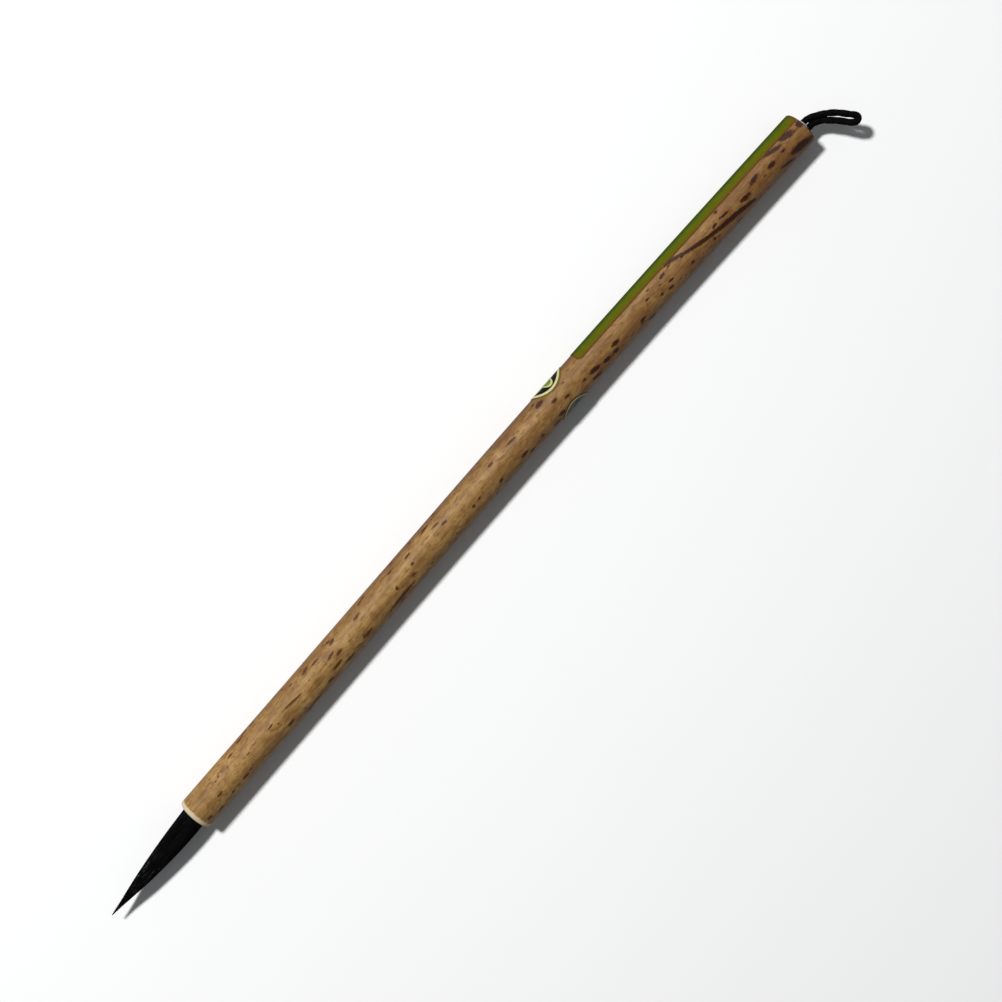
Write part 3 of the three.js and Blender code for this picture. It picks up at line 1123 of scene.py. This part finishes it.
# Printed paper: bands of colour over a plain field. Each band is (attribute, low, high, blur, ink).
def makePaper(name, field, mottled, bands, roughness):
    material, tree, sockets = newMaterial(name, roughness, 0.06)
    place = placeOf(tree)
    tone = toneOn(tree, place, 2.2, 1.8)
    fibres = toneOn(tree, place, 0.1, 1.5)
    color = mixColors(tree, tone, field, mottled)
    for attribute, low, high, blur, ink in bands:
        value = readAttribute(tree, attribute)
        mask = bandOn(tree, place, value, low, high, blur, 0.35, 0.06)
        color = mixColors(tree, mask, color, ink)
    rim = rescale(tree, readAttribute(tree, "rim"), 0.0, 1.2, 1.0, 0.0)
    wear = wearOn(tree, place, rim, 0.16)
    color = mixColors(tree, times(tree, wear, 0.35), color, srgb(170, 160, 118))
    tree.links.new(color, sockets["Base Color"])
    tree.links.new(rescale(tree, fibres, 0, 1, roughness - 0.08, roughness + 0.1), sockets["Roughness"])
    addBump(tree, sockets, fibres, 0.00001)
    return material


def makeLabel():
    low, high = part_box("name_label")
    start, end = low.x - mouthX, high.x - mouthX
    angle = np.radians(np.linspace(labelShape["from"], labelShape["to"], labelShape["columns"]))
    arc = caneRadius * (angle - angle.mean())
    corner = labelShape["corner"]
    into = np.clip(np.abs(arc) - (arc.max() - corner), 0, None)
    nearEnd = start + corner - np.sqrt(corner**2 - into**2)
    rows = int((end - start) / (2 * paperShape["detail"]))
    share = np.linspace(0, 1, rows)[:, None]
    along = nearEnd[None, :] + (end - nearEnd[None, :]) * share
    angles = np.broadcast_to(angle[None, :], along.shape)
    sideways = np.broadcast_to((arc.max() - np.abs(arc))[None, :], along.shape)
    rim = np.minimum(np.minimum(along - nearEnd[None, :], end - along), sideways) / mm
    side = caneRadius / mm * np.sin(angles)
    # An olive border, a brown edge, and a darker green painted shade where the paper turns down to face
    # sideways.
    bands = [
        ("rim", -1.0, 1.5, 0.9, srgb(88, 76, 8)),
        ("rim", -1.0, 0.55, 0.5, srgb(84, 58, 18)),
        # painted shade on the side of the label
        ("side", 3.3, noLimit, 0.8, srgb(40, 52, 4)),
    ]
    material = makePaper("green label paper", srgb(64, 80, 2), srgb(82, 92, 4), bands, 0.7)
    addSheet("green_label", along, angles, material, "label_paper", "name_label", rim=rim, side=side)


# A round sticker, from a square grid drawn into a circle.
def makeSeal(name, node, middle, spread, material, lobes, turn):
    low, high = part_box(node)
    centre = (low.x + high.x) / 2 - mouthX
    radius = caneRadius * math.radians(spread)
    side = np.linspace(-1, 1, sealShape["gridSide"])
    across, ahead = np.meshgrid(side, side)
    u = ahead * np.sqrt(1 - across**2 / 2) * radius
    v = across * np.sqrt(1 - ahead**2 / 2) * radius
    reach = np.hypot(u, v)
    lobe = np.cos(lobes * (np.arctan2(v, u) - math.radians(turn)))
    petals = sealShape["motif"] * (1 + sealShape["lobeDepth"] * lobe)
    angle = math.radians(middle) + v / caneRadius
    rim = (radius - reach) / mm
    motif = reach / (petals * radius)
    addSheet(name, centre + u, angle, material, "foil_paper", node, rim=rim, motif=motif)


def makeSeals():
    cream = srgb(184, 178, 132)
    olive = srgb(104, 92, 26)
    leftBands = [
        ("rim", -1.0, 0.3, 0.15, olive),
        ("rim", 0.3, 1.0, 0.08, cream),
        ("motif", -1.0, 1.0, 0.05, cream),
        ("motif", -1.0, 0.86, 0.1, srgb(96, 116, 34)),
        ("motif", 0.3, 0.42, 0.05, cream),
    ]
    rightBands = [
        ("rim", -1.0, 0.2, 0.08, srgb(62, 40, 22)),
        ("rim", 0.2, 0.55, 0.08, srgb(196, 186, 140)),
        ("motif", 0.86, 1.02, 0.05, srgb(14, 14, 12)),
        ("motif", 0.3, 0.42, 0.05, srgb(14, 14, 12)),
    ]
    left = makePaper("black and cream seal", srgb(10, 10, 9), srgb(20, 20, 17), leftBands, 0.42)
    right = makePaper("grey green seal", srgb(92, 94, 82), srgb(110, 110, 96), rightBands, 0.5)
    makeSeal("left_round_seal", "left_seal", *sealShape["left"], left, 4, 8)
    makeSeal("right_round_seal", "right_seal", *sealShape["right"], right, 6, 10)


makeLabel()
makeSeals()
print("papers made")


studio = {
    "floorRadius": 0.9,
    "wallCurve": 0.35,
    "floorColumns": 96,
    "floorDrop": 0.02 * mm,  # keeps the floor clear of what rests on it
    "floorColor": (0.84, 0.84, 0.84, 1),
    "keyPlace": (-0.07, 0.64, 1.02),
    "keyWidth": 0.15,
    "keyPower": 17.5,
    "fill": 0.15,
    "bounce": 0.52,  # brightness of the floor in the light that it throws back at the brush
}


def makeFloorMaterial():
    material, tree, sockets = newMaterial("pale floor", 0.85, 0.2)
    place = placeOf(tree, packed=True)
    tone = toneOn(tree, place, 60.0, 1.0)
    color = mixColors(tree, tone, (0.83, 0.83, 0.825, 1), studio["floorColor"])
    seen = addNode(tree, "LightPath", {}, {}).outputs["Is Camera Ray"]
    bounce = studio["bounce"]
    color = mixColors(tree, seen, (bounce, bounce, bounce, 1), color)
    tree.links.new(color, sockets["Base Color"])
    return material


# A round floor that curves up into a low wall on every side.
def makeFloor():
    rise = np.linspace(0, np.pi / 2, 12)
    curve = studio["wallCurve"]
    flat = studio["floorRadius"]
    profile = [(0.0, 0.005), (0.0, 0.3), (0.0, flat)]
    profile += [(curve * (1 - math.cos(q)), flat + curve * math.sin(q)) for q in rise[1:]]
    columns = studio["floorColumns"]
    angles = np.arange(columns) * 2 * np.pi / columns
    drop = studio["floorDrop"]
    points = [[r * math.cos(a), r * math.sin(a), h - drop] for h, r in profile for a in angles]
    faces = gridFaces(len(profile), columns) + [list(range(columns))]
    mesh = bpy.data.meshes.new("floor")
    mesh.from_pydata(points, [], faces)
    mesh.polygons.foreach_set("use_smooth", [True] * len(mesh.polygons))
    mesh.materials.append(makeFloorMaterial())
    floor = bpy.data.objects.new("floor", mesh)
    bpy.context.scene.collection.objects.link(floor)


def makeLight():
    data = bpy.data.lights.new("key", "AREA")
    data.shape = "DISK"
    data.size = studio["keyWidth"]
    data.energy = studio["keyPower"]
    key = bpy.data.objects.new("key", data)
    key.location = studio["keyPlace"]
    key.rotation_euler = (-Vector(studio["keyPlace"])).to_track_quat("-Z", "Y").to_euler()
    bpy.context.scene.collection.objects.link(key)
    world = bpy.data.worlds.new("studio")
    world.use_nodes = True
    background = world.node_tree.nodes["Background"].inputs
    background["Color"].default_value = (0.93, 0.97, 1, 1)
    background["Strength"].default_value = studio["fill"]
    bpy.context.scene.world = world
    bpy.context.scene.view_settings.view_transform = "Standard"


makeFloor()
makeLight()
